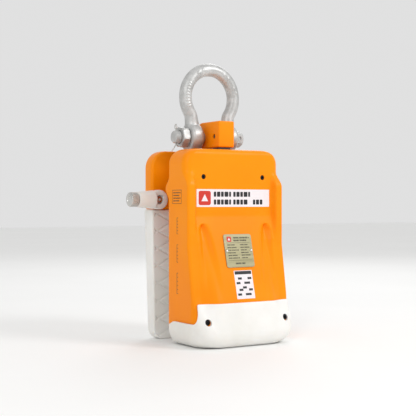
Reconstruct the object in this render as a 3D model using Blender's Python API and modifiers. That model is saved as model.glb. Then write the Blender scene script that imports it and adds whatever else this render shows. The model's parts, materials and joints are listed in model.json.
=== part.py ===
"""Vertical slab lifting clamp: a fixed rear jaw, a housing with an inclined guide, a moving jaw, a shackle.

Run with blender --background --python part.py, or from Blender's text editor.
Sizes below are in millimetres. +X is the clamp's right, +Y points from the housing to the rear jaw, +Z is up.
"""

from math import asin, cos, hypot, pi, radians, sin, sqrt, tan

import bmesh
import bpy
from mathutils import Matrix, Vector

MM = 0.001
GAP = 0.3  # clearance between pieces that touch

# Housing shell
HOUSING_TOP = 265.0
HOUSING_BOTTOM = 22.0
HOUSING_REAR = 8.0
FACE_Y = -35.0  # upper front face
LOWER_HALF_WIDTH = 77.2
UPPER_HALF_WIDTH = 76.6
SHOULDER_LOW, SHOULDER_HIGH = 214.0, 236.0
WALL = 3.0
LEAN_START = 175.0  # below this height the front face leans forward
LEAN_ANGLE = radians(14.2)
LEAN = tan(LEAN_ANGLE)
CORNER_TOP, CORNER_RAIL, CORNER_BOTTOM = 11.0, 4.0, 28.0  # plan radius of the front corners
FOOT_START, FOOT_HEIGHT = 70.0, 60.0  # where the corners grow broad towards the foot
RAIL_Y, RAIL_LEAN, RAIL_LEAN_START = -43.5, 0.15, 135.0  # upright rails beside the front panel
RAIL_INNER, RAIL_WALL = 60.5, 6.5
FLANK_INNER, FLANK_WIDTH = 40.0, 26.0  # below the rails, where the sides fall back from the panel
TOP_SIDE_RADIUS, TOP_FRONT_RADIUS = 20.0, 8.0
EAR_Z, EAR_HALF_HEIGHT, EAR_DEPTH = 211.0, 16.0, 9.0  # bulge on the rear edge of each side
SCOOP_TOP, SCOOP_BOTTOM, SCOOP_X = 164.0, 60.0, 51.0
SCOOP_HALF_WIDTH, SCOOP_WALL, SCOOP_DEPTH = 22.0, 9.0, 7.0

# Bumper
BUMPER_STAND = 3.8  # from the housing's surface to its own
BUMPER_WALL = 2.6
BUMPER_FRONT_TOP, BUMPER_SIDE_TOP = 59.0, 33.0
BUMPER_BOTTOM_RADIUS = 22.0
BUMPER_END_DROP = 4.5  # the top line dips at the rear end of each side

# Jaws and the gap between them
JAW_FACE = 54.0
JAW_HALF_WIDTH = 78.0
JAW_TOP = 265.0
JAW_TOP_RADIUS = 24.0
JAW_PLATE = 22.0
TONGUE_FRONT, TONGUE_THICK, TONGUE_HALF_WIDTH, TONGUE_BOTTOM = 60.0, 8.0, 66.0, 12.0
BOOT_TOP = 182.5
BOOT_RADIUS = 15.0
BOOT_SIDE_TAPER, BOOT_BACK_TAPER = 3.5, 5.7  # how far each side and the back draw in at the bottom
PAD_FACE = 13.0
PAD_THICK, PAD_HALF_WIDTH, PAD_BOTTOM, PAD_TOP = 12.0, 70.0, 2.0, 118.0
CARRIAGE_THICK, CARRIAGE_HALF_WIDTH, CARRIAGE_BOTTOM, CARRIAGE_TOP = 6.0, 64.0, 8.0, 113.0

# Inclined guide: the moving jaw travels STROKE_Y back while it rises
STROKE_Y = 40.0
GUIDE_ANGLE = radians(33.0)  # from the vertical
STROKE_Z = STROKE_Y / tan(GUIDE_ANGLE)
CHEEK_INNER, CHEEK_OUTER = 21.0, 33.0
CHEEK_BOTTOM, CHEEK_TOP = 18.5, 256.0
CHEEK_REAR = -6.0
LOWER_SHAFT = (-57.0, 34.0)
UPPER_SHAFT = (-5.0, 150.0)
SHAFT_RADIUS, SHAFT_HALF_LENGTH = 5.0, 37.0
BUSH_RADIUS = 7.0

# Lifting lug, stem and shackle
PIN_Y, PIN_Z = 27.0, 283.5
LUG_FRONT, LUG_BOTTOM, LUG_TOP, LUG_HALF_WIDTH = -18.0, 268.6, 305.0, 12.8
STEM_Y, STEM_HALF_WIDTH, STEM_HALF_DEPTH, NECK_HALF_DEPTH = -5.0, 9.0, 10.0, 8.0
DOWEL_Z, DOWEL_RADIUS = 284.0, 3.3
PIN_RADIUS = 9.0
EYE_RADIUS, EYE_INNER, EYE_OUTER = 20.0, 18.8, 38.6
WIRE_RADIUS, BOW_RADIUS, BOW_CENTRE = 9.2, 39.7, 57.0
HEAD_END, NUT_END, BOLT_END, COTTER_X = 52.0, -50.0, -59.0, -54.6

# Side handles
HANDLE_X, HANDLE_Z = 72.0, 196.5
HANDLE_EYE_FRONT, HANDLE_EYE_RADIUS = 42.0, 13.5
HANDLE_SLEEVE_START, HANDLE_SLEEVE_END, HANDLE_END = 78.6, 105.0, 117.5
HANDLE_AXIS_Y = 48.0

# Fasteners
TOP_SCREW_X, TOP_SCREW_Z = 48.0, 227.0
TOP_SCREW_RECESS = 0.4
BUMPER_SCREW_X, BUMPER_SCREW_Z = 62.0, 35.5
BUMPER_SCREW_RECESS = 2.0
JAW_BOLT_X, JAW_BOLT_ZS = 27.0, (197.0, 242.0)

# name: colour, roughness, metallic
MATERIALS = {
    "orange_paint": ((1.0, 0.29, 0.0), 0.38, 0.0),
    "white_rubber": ((0.86, 0.84, 0.79), 0.55, 0.0),
    "galvanised_steel": ((0.66, 0.66, 0.64), 0.42, 0.9),
    "bright_steel": ((0.60, 0.60, 0.60), 0.30, 1.0),
    "dark_steel": ((0.16, 0.16, 0.17), 0.45, 0.9),
    "black_screw": ((0.03, 0.03, 0.03), 0.40, 0.6),
    "bronze": ((0.60, 0.42, 0.20), 0.40, 0.9),
    "plate_metal": ((0.45, 0.42, 0.28), 0.45, 0.6),
}


# Scene, materials and small helpers


def clear_scene():
    for obj in list(bpy.data.objects):
        bpy.data.objects.remove(obj, do_unlink=True)


def new_collection(name):
    collection = bpy.data.collections.new(name)
    bpy.context.scene.collection.children.link(collection)
    return collection


def make_material(name):
    colour, roughness, metallic = MATERIALS[name]
    material = bpy.data.materials.new(name)
    material.use_nodes = True
    shader = material.node_tree.nodes["Principled BSDF"]
    shader.inputs["Base Color"].default_value = (*colour, 1.0)
    shader.inputs["Roughness"].default_value = roughness
    shader.inputs["Metallic"].default_value = metallic
    material.diffuse_color = (*colour, 1.0)
    return material


def add_object(name, mesh, slot):
    """Puts a mesh in the clamp's collection with a material of its own."""
    obj = bpy.data.objects.new(name, mesh)
    CLAMP.objects.link(obj)
    if slot:
        material = make_material(slot)
        material.name = f"{name}_{slot}"
        mesh.materials.clear()
        mesh.materials.append(material)
    return obj


def as_cutter(obj):
    """Moves an object to the cutters, where it isn't rendered."""
    CLAMP.objects.unlink(obj)
    CUTTERS.objects.link(obj)
    obj.hide_render = True
    obj.display_type = "WIRE"
    return obj


def clamp01(value):
    return min(1.0, max(0.0, value))


def smooth(value):
    value = clamp01(value)
    return value * value * (3 - 2 * value)


def combine(obj, other, operation):
    modifier = obj.modifiers.new(f"{operation.lower()} {other.name}", "BOOLEAN")
    modifier.operation = operation
    modifier.object = other
    modifier.solver = "EXACT"
    return obj


def cut(obj, *cutters):
    for cutter in cutters:
        combine(obj, cutter, "DIFFERENCE")
    return obj


def join(obj, *others):
    for other in others:
        combine(obj, as_cutter(other), "UNION")
    return obj


def bevel(obj, width, segments=2, angle=40):
    modifier = obj.modifiers.new("rounded edges", "BEVEL")
    modifier.width = width * MM
    modifier.segments = segments
    modifier.limit_method = "ANGLE"
    modifier.angle_limit = radians(angle)
    return obj


def box(name, x, y, z, slot=None):
    """A box from three (low, high) pairs."""
    mesh = bpy.data.meshes.new(name)
    shape = bmesh.new()
    bmesh.ops.create_cube(shape, size=1.0)
    size = Vector([(high - low) * MM for low, high in (x, y, z)])
    bmesh.ops.scale(shape, vec=size, verts=shape.verts)
    shape.to_mesh(mesh)
    shape.free()
    obj = add_object(name, mesh, slot)
    obj.location = Vector([(low + high) * MM / 2 for low, high in (x, y, z)])
    return obj


TURNS = {
    "X": Matrix.Rotation(pi / 2, 4, "Y"),
    "Y": Matrix.Rotation(-pi / 2, 4, "X"),
    "Z": Matrix.Identity(4),
}


def rod(name, axis, start, end, across, radius, slot=None, sides=32, end_radius=None, spin=0.0):
    """A cylinder or cone along an axis, from start to end. across is its place on the other two axes."""
    mesh = bpy.data.meshes.new(name)
    shape = bmesh.new()
    bmesh.ops.create_cone(
        shape,
        cap_ends=True,
        segments=sides,
        radius1=radius * MM,
        radius2=(radius if end_radius is None else end_radius) * MM,
        depth=abs(end - start) * MM,
    )
    turn = TURNS[axis] @ Matrix.Rotation(spin, 4, "Z")
    if end < start:
        turn = turn @ Matrix.Rotation(pi, 4, "X")
    bmesh.ops.transform(shape, matrix=turn, verts=shape.verts)
    shape.to_mesh(mesh)
    shape.free()
    place = list(across)
    place.insert("XYZ".index(axis), (start + end) / 2)
    obj = add_object(name, mesh, slot)
    obj.location = Vector(place) * MM
    return obj


def prism(name, outline, axis, low, high, slot=None):
    """A flat outline, given on the two other axes in order, extruded along an axis from low to high."""
    curve = bpy.data.curves.new(name, "CURVE")
    curve.dimensions = "2D"
    curve.fill_mode = "BOTH"
    curve.extrude = (high - low) * MM / 2
    spline = curve.splines.new("POLY")
    spline.points.add(len(outline) - 1)
    spline.use_cyclic_u = True
    for point, (u, v) in zip(spline.points, outline):
        point.co = (u * MM, v * MM, 0.0, 1.0)
    flat = bpy.data.objects.new(f"{name} outline", curve)
    CLAMP.objects.link(flat)
    if axis == "X":
        flat.matrix_world = Matrix(((0, 0, 1, 0), (1, 0, 0, 0), (0, 1, 0, 0), (0, 0, 0, 1)))
    elif axis == "Y":
        flat.matrix_world = Matrix(((1, 0, 0, 0), (0, 0, -1, 0), (0, 1, 0, 0), (0, 0, 0, 1)))
    obj = curve_to_mesh(flat, name, slot)
    shift = Vector((0.0, 0.0, 0.0))
    shift["XYZ".index(axis)] = (low + high) / 2 * MM
    obj.location = shift
    return obj


def curve_to_mesh(source, name, slot):
    """Makes a curve object a welded mesh in world axes, and removes the curve."""
    bpy.context.view_layer.update()
    evaluated = source.evaluated_get(bpy.context.evaluated_depsgraph_get())
    mesh = bpy.data.meshes.new_from_object(evaluated)
    mesh.transform(source.matrix_world)
    shape = bmesh.new()
    shape.from_mesh(mesh)
    bmesh.ops.remove_doubles(shape, verts=shape.verts, dist=1e-6)
    bmesh.ops.recalc_face_normals(shape, faces=shape.faces)
    shape.to_mesh(mesh)
    shape.free()
    mesh.name = name
    bpy.data.objects.remove(source, do_unlink=True)
    return add_object(name, mesh, slot)


def tube(name, points, radius, slot=None, bevel_resolution=4):
    """A round wire through points in millimetres."""
    curve = bpy.data.curves.new(name, "CURVE")
    curve.dimensions = "3D"
    curve.bevel_depth = radius * MM
    curve.bevel_resolution = bevel_resolution
    curve.use_fill_caps = True
    spline = curve.splines.new("POLY")
    spline.points.add(len(points) - 1)
    for point, place in zip(spline.points, points):
        point.co = (*(Vector(place) * MM), 1.0)
    wire = bpy.data.objects.new(f"{name} wire", curve)
    CLAMP.objects.link(wire)
    return curve_to_mesh(wire, name, slot)


def arc(centre, radius, start, end, steps):
    """Points on an arc, with the angles in degrees."""
    angles = [radians(start + (end - start) * i / steps) for i in range(steps + 1)]
    return [(centre[0] + radius * cos(a), centre[1] + radius * sin(a)) for a in angles]


def stadium(start, end, radius, steps=10):
    """The outline of a slot with round ends between two centres."""
    turn = 90 + 180 / pi * asin((end[1] - start[1]) / hypot(end[0] - start[0], end[1] - start[1]))
    return arc(start, radius, turn, turn + 180, steps) + arc(end, radius, turn + 180, turn + 360, steps)


# Housing surface: one formula gives the shell, the bumper and what is fixed to them


def front_y(z):
    return FACE_Y - LEAN * max(0.0, LEAN_START - z)


def rounding(distance, radius):
    """How far an edge of that radius has come in, at a distance short of the edge's end."""
    if distance >= radius:
        return 0.0
    return radius - sqrt(max(0.0, radius**2 - (radius - distance) ** 2))


def shoulder(z):
    """0 along the rails, 1 above the shoulder."""
    return smooth((z - SHOULDER_LOW) / (SHOULDER_HIGH - SHOULDER_LOW))


def foot(z):
    """0 above the foot, 1 where the corners have their full radius."""
    return smooth((FOOT_START - z) / FOOT_HEIGHT)


def corner_radius(z):
    high, low = (CORNER_TOP - CORNER_RAIL) * shoulder(z), (CORNER_BOTTOM - CORNER_RAIL) * foot(z)
    return CORNER_RAIL + high + low


def scoop(x, z):
    """Depth of the thumb-shaped hollow on each side of the centre panel."""
    down = clamp01((SCOOP_TOP - z) / (SCOOP_TOP - SCOOP_BOTTOM))
    half = SCOOP_HALF_WIDTH * down**0.35
    across = abs(x) - SCOOP_X
    if across > 0:
        half = min(half, RAIL_INNER - SCOOP_X)
    return SCOOP_DEPTH * (1 - down) * smooth((half - abs(across)) / SCOOP_WALL)


def side_offset(z):
    """How far the front's outer edge lies behind the panel: less than 0 where it stands proud as a rail."""
    rail = RAIL_Y - RAIL_LEAN * max(0.0, RAIL_LEAN_START - z)
    return (rail - front_y(z)) * (1 - shoulder(z)) * (1 - foot(z))


def flat_y(x, z, scooped):
    """The front's y at a point between its two corners."""
    offset = side_offset(z)
    start, width = (RAIL_INNER, RAIL_WALL) if offset < 0 else (FLANK_INNER, FLANK_WIDTH)
    y = front_y(z) + offset * smooth((abs(x) - start) / width)
    return y + scoop(x, z) if scooped else y


def shell_point(u, z, offset=0.0, scooped=True, bottom=None):
    """A point on the housing. u runs from -1 at the left rear edge, through 0 at the front, to 1."""
    top = HOUSING_TOP + offset - z
    side_in = rounding(top, TOP_SIDE_RADIUS)
    front_in = rounding(top, TOP_FRONT_RADIUS)
    if bottom is not None:
        side_in += rounding(z - bottom, BUMPER_BOTTOM_RADIUS)
        front_in += rounding(z - bottom, BUMPER_BOTTOM_RADIUS)
    radius = offset + corner_radius(z)
    width = LOWER_HALF_WIDTH + (UPPER_HALF_WIDTH - LOWER_HALF_WIDTH) * shoulder(z) + offset - side_in
    side, along = (1 if u >= 0 else -1), abs(u)
    flat = width - radius
    face = flat_y(flat, z, scooped) - offset + front_in
    if along <= 0.5:
        x = flat * along / 0.5
        y = flat_y(x, z, scooped) - offset + front_in
    elif along <= 0.72:
        angle = (along - 0.5) / 0.22 * pi / 2
        x, y = flat + radius * sin(angle), face + radius * (1 - cos(angle))
    else:
        ear = EAR_DEPTH * smooth(1 - abs(z - EAR_Z) / EAR_HALF_HEIGHT)
        rear = HOUSING_REAR + ear - 0.35 * side_in
        x = width
        y = face + radius + (rear - face - radius) * (along - 0.72) / 0.28
    return side * x, y, z


def bumper_top(u):
    """Height of the bumper's top line: high across the front, then an S down to the sides."""
    drop = smooth((abs(u) - 0.50) / 0.16)
    end = BUMPER_END_DROP * smooth((abs(u) - 0.90) / 0.065)
    return BUMPER_FRONT_TOP + (BUMPER_SIDE_TOP - BUMPER_FRONT_TOP) * drop - end


def shell(name, columns, rows, point, thickness, slot, cap=False):
    """An open grid surface, with a flat cap on its last row if asked, made solid inwards."""
    mesh = bpy.data.meshes.new(name)
    shape = bmesh.new()
    grid = [[shape.verts.new(Vector(point(u, v)) * MM) for u in columns] for v in rows]
    for low, high in zip(grid, grid[1:]):
        for i in range(len(columns) - 1):
            shape.faces.new((low[i], low[i + 1], high[i + 1], high[i]))
    if cap:
        shape.faces.new(grid[-1])
    bmesh.ops.remove_doubles(shape, verts=shape.verts, dist=1e-6)
    shape.to_mesh(mesh)
    shape.free()
    obj = add_object(name, mesh, slot)
    modifier = obj.modifiers.new("wall", "SOLIDIFY")
    modifier.thickness = thickness * MM
    modifier.offset = -1.0
    modifier.use_even_offset = True
    return obj


def mirrored(steps):
    return [-step for step in reversed(steps) if step] + list(steps)


FRONT_STEPS = [0.0, 0.11, 0.19, 0.225, 0.26, 0.30, 0.34, 0.38, 0.413, 0.436, 0.458, 0.48, 0.5]
CORNER_STEPS = [0.544, 0.588, 0.632, 0.676, 0.72]


# Fixed frame: housing, bumper, cheeks and rear jaw


def build_housing():
    columns = mirrored(FRONT_STEPS + CORNER_STEPS + [0.86, 1.0])
    heights = [HOUSING_BOTTOM, 28, 34, 40, 46, 53, 60, 70, 80, 100, 120, 138, 148, 154, 158, 161, 164, 175]
    heights += [195, 200, 206, 211, 214, 218, 222, 227, 231, 236]
    turns = [radians(a) for a in (0, 20, 38, 52, 64, 74, 82, 90)]
    heights += [HOUSING_TOP - TOP_SIDE_RADIUS * (1 - sin(turn)) for turn in turns]
    housing = shell("front_housing", columns, heights, shell_point, WALL, "orange_paint", cap=True)
    slot = box("stem slot", (-11, 11), (STEM_Y - 12.5, 40), (HOUSING_TOP - 12, HOUSING_TOP + 10))
    cut(housing, as_cutter(slot))
    for side in (-1, 1):
        for name, x, z, radius in (
            ("top", TOP_SCREW_X, TOP_SCREW_Z, 3.5),
            ("bumper", BUMPER_SCREW_X, BUMPER_SCREW_Z, 4.3),
        ):
            hole = rod(f"{name} screw hole {side}", "Y", -100, -20, (side * x, z), radius, sides=24)
            cut(housing, as_cutter(hole))


def bumper_point(u, v):
    return shell_point(u, bumper_top(u) * v, BUMPER_STAND, scooped=False, bottom=0.0)


def bumper_front():
    """The bumper's foremost y, which the rear jaw's back matches so that the box is centred on the origin."""
    return min(bumper_point(0.0, i / 200)[1] for i in range(201))


def build_bumper():
    corner = [0.53, 0.56, 0.59, 0.62, 0.65, 0.68, 0.72, 0.86, 0.90, 0.93, 0.965]
    columns = mirrored(FRONT_STEPS + corner)
    rows = [0.0, 0.012, 0.05, 0.11, 0.19, 0.29, 0.38, 0.46, 0.54, 0.62, 0.70, 0.78, 0.85, 0.93, 1.0]
    bumper = shell("front_bumper", columns, rows, bumper_point, BUMPER_WALL, "white_rubber")
    for side in (-1, 1):
        place = (side * BUMPER_SCREW_X, BUMPER_SCREW_Z)
        hole = rod(f"bumper hole {side}", "Y", -100, -20, place, 4.5, sides=24)
        cut(bumper, as_cutter(hole))


def build_cheek(name, side):
    """A guide plate: it holds both inclined slots and bridges over the gap to the rear jaw."""
    edge = WALL + 1.5
    swept = (PAD_FACE - PAD_THICK - 2.0, PAD_TOP + 5.0)  # just ahead of the moving pad's top corner
    rise = 1 / tan(GUIDE_ANGLE)
    bridge = 190.0
    outline = [
        (front_y(CHEEK_BOTTOM) + edge, CHEEK_BOTTOM),
        (CHEEK_REAR, CHEEK_BOTTOM),
        (CHEEK_REAR, swept[1] + (CHEEK_REAR - swept[0]) * rise),
        (swept[0] + (bridge - swept[1]) / rise, bridge),
        (JAW_FACE - GAP, bridge),
        (JAW_FACE - GAP, CHEEK_TOP),
        (FACE_Y + 11.8, CHEEK_TOP),
        (FACE_Y + 11.8, 214.0),
        (FACE_Y + edge, LEAN_START),
    ]
    low, high = sorted((side * CHEEK_INNER, side * CHEEK_OUTER))
    cheek = prism(name, outline, "X", low, high, "orange_paint")
    for label, (y, z) in (("lower", LOWER_SHAFT), ("upper", UPPER_SHAFT)):
        slot = stadium((y, z), (y + STROKE_Y, z + STROKE_Z), BUSH_RADIUS + GAP)
        cut(cheek, as_cutter(prism(f"{name} {label} slot", slot, "X", low - 5, high + 5)))
    for z in JAW_BOLT_ZS:
        place = (side * JAW_BOLT_X, z)
        cut(cheek, as_cutter(rod(f"{name} tapped hole {z:.0f}", "Y", 32, 70, place, 4.2, sides=24)))


def build_ties():
    """The bars that the housing is screwed to."""
    upper_y, upper_z = (FACE_Y + WALL + GAP, FACE_Y + 11.5), (TOP_SCREW_Z - 7, TOP_SCREW_Z + 7)
    upper = box("upper_tie_bar", (-60, 60), upper_y, upper_z, "dark_steel")
    crossbar = box("lower_crossbar", (-65, 65), (-58, -44), (10, CHEEK_BOTTOM - GAP), "dark_steel")
    for side in (-1, 1):
        x = sorted((side * 53, side * 68))
        join(crossbar, box(f"crossbar tab {side}", x, (-57, -49), (14, 43)))
        for bar, z, place in ((upper, TOP_SCREW_Z, TOP_SCREW_X), (crossbar, BUMPER_SCREW_Z, BUMPER_SCREW_X)):
            hole = rod(f"{bar.name} tapped hole {side}", "Y", -90, -10, (side * place, z), 2.8, sides=20)
            cut(bar, as_cutter(hole))


def build_rear_jaw():
    back = -bumper_front()
    plate_rear = JAW_FACE + JAW_PLATE
    half, radius = JAW_HALF_WIDTH, JAW_TOP_RADIUS
    outline = [(-half, BOOT_TOP + GAP), (half, BOOT_TOP + GAP)]
    outline += arc((half - radius, JAW_TOP - radius), radius, 0, 90, 10)
    outline += arc((radius - half, JAW_TOP - radius), radius, 90, 180, 10)
    plate = prism("rear_jaw_plate", outline, "Y", JAW_FACE, plate_rear, "orange_paint")
    bevel(plate, 2.0)
    tongue_y = (TONGUE_FRONT, TONGUE_FRONT + TONGUE_THICK)
    tongue_x = (-TONGUE_HALF_WIDTH, TONGUE_HALF_WIDTH)
    join(plate, box("jaw tongue", tongue_x, tongue_y, (TONGUE_BOTTOM, BOOT_TOP + 10)))
    for side in (-1, 1):
        for z in JAW_BOLT_ZS:
            place = (side * JAW_BOLT_X, z)
            hole = rod(f"jaw bolt hole {side} {z:.0f}", "Y", 40, 90, place, 4.3, sides=24)
            sink = rod(f"jaw bolt sink {side} {z:.0f}", "Y", plate_rear - 7, 90, place, 7.4, sides=24)
            cut(plate, as_cutter(hole), as_cutter(sink))
        hole = rod(f"handle bolt hole {side}", "Y", 40, 90, (side * HANDLE_X, HANDLE_Z), 3.3, sides=24)
        cut(plate, as_cutter(hole))

    radius = BOOT_RADIUS
    foot_x = half - BOOT_SIDE_TAPER - radius
    outline = [(half, BOOT_TOP), (-half, BOOT_TOP)]
    outline += arc((-foot_x, radius), radius, 180, 270, 8)
    outline += arc((foot_x, radius), radius, 270, 360, 8)
    boot = prism("rear_rubber_boot", outline, "Y", JAW_FACE, back, "white_rubber")
    behind = [(back, BOOT_TOP + 1), (back + 20, BOOT_TOP + 1), (back + 20, -1), (back - BOOT_BACK_TAPER, -1)]
    cut(boot, as_cutter(prism("boot back taper", behind, "X", -100, 100)))
    bevel(boot, 2.0)
    pocket_x = (-TONGUE_HALF_WIDTH - GAP, TONGUE_HALF_WIDTH + GAP)
    pocket_y = (tongue_y[0] - GAP, tongue_y[1] + GAP)
    cut(boot, as_cutter(box("boot pocket", pocket_x, pocket_y, (TONGUE_BOTTOM - GAP, BOOT_TOP + 20))))

    for side, side_name in ((-1, "left"), (1, "right")):
        for z, level in zip(JAW_BOLT_ZS, ("lower", "upper")):
            place = (side * JAW_BOLT_X, z)
            name = f"jaw_bolt_{level}_{side_name}"
            bolt = rod(name, "Y", plate_rear - 6.7, plate_rear - 0.7, place, 7.0, "bright_steel", 24)
            join(bolt, rod(f"{name} shank", "Y", 36, plate_rear - 5, place, 3.9, sides=24))
            socket = rod(f"{name} socket", "Y", plate_rear - 4, plate_rear + 2, place, 3.6, sides=6)
            cut(bolt, as_cutter(socket))


def recessed_screw(name, place, start, head_radius, shank_end):
    """A cap screw with a hexagon socket, sunk below a front face so that its head starts at start."""
    screw = rod(name, "Y", start, start + 2.4, place, head_radius, "black_screw", 24)
    join(screw, rod(f"{name} shank", "Y", start + 1.9, shank_end, place, 2.5, sides=20))
    cut(screw, as_cutter(rod(f"{name} socket", "Y", start - 2, start + 1.5, place, 2.0, sides=6)))


def build_front_screws():
    for side, side_name in ((-1, "left"), (1, "right")):
        place = (side * TOP_SCREW_X, TOP_SCREW_Z)
        recessed_screw(f"housing_screw_{side_name}", place, FACE_Y + TOP_SCREW_RECESS, 3.1, FACE_Y + 10)
        place = (side * BUMPER_SCREW_X, BUMPER_SCREW_Z)
        face = flat_y(BUMPER_SCREW_X, BUMPER_SCREW_Z, False) - BUMPER_STAND
        recessed_screw(f"bumper_screw_{side_name}", place, face + BUMPER_SCREW_RECESS, 4.0, -51)


# Moving jaw: carriage plate, pad, stem, lug and guide shafts


def build_carriage():
    plate_rear = PAD_FACE - PAD_THICK - GAP
    plate_y = (plate_rear - CARRIAGE_THICK, plate_rear)
    plate_x = (-CARRIAGE_HALF_WIDTH, CARRIAGE_HALF_WIDTH)
    plate = box("carriage_plate", plate_x, plate_y, (CARRIAGE_BOTTOM, CARRIAGE_TOP), "dark_steel")
    pad_x = (-PAD_HALF_WIDTH, PAD_HALF_WIDTH)
    pad = box("moving_pad", pad_x, (PAD_FACE - PAD_THICK, PAD_FACE), (PAD_BOTTOM, PAD_TOP), "white_rubber")
    bevel(pad, 2.0)

    rear = plate_y[0] - GAP
    low_y, low_z = LOWER_SHAFT
    outline = arc((low_y, low_z), 10.5, 180, 250, 6)
    stem_y = (STEM_Y - STEM_HALF_DEPTH, STEM_Y + STEM_HALF_DEPTH)
    neck_y = (STEM_Y - NECK_HALF_DEPTH, STEM_Y + NECK_HALF_DEPTH)
    outline += [(rear, 24), (rear, CARRIAGE_TOP), (stem_y[1], CARRIAGE_TOP + 16), (stem_y[1], 262)]
    outline += [(neck_y[1], 262), (neck_y[1], 297), (neck_y[0], 297), (neck_y[0], 262), (stem_y[0], 262)]
    outline += [(stem_y[0], CARRIAGE_TOP + 4), (low_y - 6, low_z + 16)]
    stem = prism("lifting_stem", outline, "X", -STEM_HALF_WIDTH, STEM_HALF_WIDTH, "dark_steel")

    top_middle = (LUG_BOTTOM + LUG_TOP) / 2
    outline = [(LUG_FRONT, LUG_TOP), (LUG_FRONT, LUG_BOTTOM)]
    outline += arc((PIN_Y, top_middle), (LUG_TOP - LUG_BOTTOM) / 2, -90, 90, 16)
    lug = bevel(prism("lifting_lug", outline, "X", -LUG_HALF_WIDTH, LUG_HALF_WIDTH, "orange_paint"), 2.2, 3)
    socket_y = (neck_y[0] - GAP, neck_y[1] + GAP)
    socket = box("lug socket", (-STEM_HALF_WIDTH - GAP, STEM_HALF_WIDTH + GAP), socket_y, (250, 297.3))
    pin_hole = rod("lug pin hole", "X", -30, 30, (PIN_Y, PIN_Z), PIN_RADIUS + 0.4)
    dowel_hole = rod("dowel hole", "X", -30, 30, (STEM_Y, DOWEL_Z), DOWEL_RADIUS + 0.2, sides=24)
    cut(lug, as_cutter(socket), as_cutter(pin_hole), as_cutter(dowel_hole))
    cut(stem, dowel_hole)
    half = LUG_HALF_WIDTH - 1.9
    rod("lug_dowel", "X", -half, half, (STEM_Y, DOWEL_Z), DOWEL_RADIUS, "dark_steel", 24)

    for z, level in ((50, "lower"), (92, "upper")):
        name = f"carriage_screw_{level}"
        screw = rod(name, "Y", plate_rear - 3, plate_rear - 0.5, (0, z), 5.5, "black_screw", 24)
        join(screw, rod(f"{name} shank", "Y", rear - 14, plate_rear - 2, (0, z), 3.0, sides=20))
        hole = as_cutter(rod(f"{name} hole", "Y", rear - 14.3, plate_rear + 5, (0, z), 3.2, sides=20))
        cut(stem, hole)
        cut(plate, hole, as_cutter(rod(f"{name} sink", "Y", plate_rear - 3.3, 10, (0, z), 5.8, sides=24)))

    for level, place in (("lower", LOWER_SHAFT), ("upper", UPPER_SHAFT)):
        hole = rod(f"{level} shaft hole", "X", -20, 20, place, SHAFT_RADIUS + 0.15, sides=32)
        cut(stem, as_cutter(hole))
        ends = (-SHAFT_HALF_LENGTH, SHAFT_HALF_LENGTH)
        rod(f"{level}_guide_shaft", "X", *ends, place, SHAFT_RADIUS, "bright_steel")
        bore = as_cutter(rod(f"{level} bush bore", "X", -60, 60, place, SHAFT_RADIUS + 0.15, sides=32))
        for side, side_name in ((-1, "left"), (1, "right")):
            ends = (side * (CHEEK_INNER + GAP), side * (CHEEK_OUTER - GAP))
            cut(rod(f"{level}_roller_{side_name}", "X", *ends, place, BUSH_RADIUS, "bronze", 40), bore)
            ends = (side * (CHEEK_OUTER + GAP), side * (CHEEK_OUTER + 1.8))
            cut(rod(f"{level}_shaft_ring_{side_name}", "X", *ends, place, 8.0, "dark_steel", 32), bore)


# Shackle


def build_shackle():
    spread = 38.0  # degrees below the horizontal where the bow's circle meets its legs
    centre = (0.0, PIN_Z + BOW_CENTRE)
    circle = arc(centre, BOW_RADIUS, 180 + spread, -spread, 40)
    eye_x = (EYE_INNER + EYE_OUTER) / 2
    foot = PIN_Z + 9
    left_leg = [(-eye_x, foot), (-eye_x - 0.1, foot + 8), (-eye_x - 0.9, foot + 15)]
    right_leg = [(-x, z) for x, z in reversed(left_leg)]
    path = [(x, PIN_Y, z) for x, z in left_leg + circle + right_leg]
    bow = tube("shackle_bow", path, WIRE_RADIUS, "galvanised_steel")
    for side in (-1, 1):
        ends = (side * EYE_INNER, side * EYE_OUTER)
        eye = rod(f"bow eye {side}", "X", *ends, (PIN_Y, PIN_Z), EYE_RADIUS, sides=40)
        join(bow, bevel(eye, 4.0, 3))
    cut(bow, as_cutter(rod("bow pin hole", "X", -70, 70, (PIN_Y, PIN_Z), PIN_RADIUS + GAP, sides=40)))

    place = (PIN_Y, PIN_Z)
    head_start = EYE_OUTER + GAP
    bolt = rod("shackle_bolt", "X", head_start, HEAD_END, place, 11.8, "galvanised_steel", 6)
    bevel(bolt, 1.0)
    join(bolt, rod("bolt shank", "X", BOLT_END, head_start + 3, place, PIN_RADIUS, sides=40))
    cotter_hole = as_cutter(rod("cotter hole", "Z", PIN_Z - 20, PIN_Z + 20, (COTTER_X, PIN_Y), 2.0, sides=20))
    cut(bolt, cotter_hole)
    nut = rod("shackle_nut", "X", NUT_END, -head_start, place, 15.6, "galvanised_steel", 6, spin=radians(12))
    bevel(nut, 1.0)
    cut(nut, as_cutter(rod("nut bore", "X", NUT_END - 5, 0, place, PIN_RADIUS + 0.2, sides=40)))

    loop_centre, loop_radius = PIN_Z + PIN_RADIUS + 5.2, 3.2
    loop = [
        (COTTER_X - a / 308, PIN_Y + loop_radius * sin(turn), loop_centre - loop_radius * cos(turn))
        for a, turn in ((a, radians(a)) for a in range(0, 309, 22))
    ]
    leg = [(COTTER_X - out, PIN_Y, PIN_Z - down) for out, down in ((7.0, 20.5), (0.8, 12.0), (0.0, 10.0))]
    tube("shackle_cotter", leg + loop, 1.5, "bright_steel", 3)


# Side handles and rating plate


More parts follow.
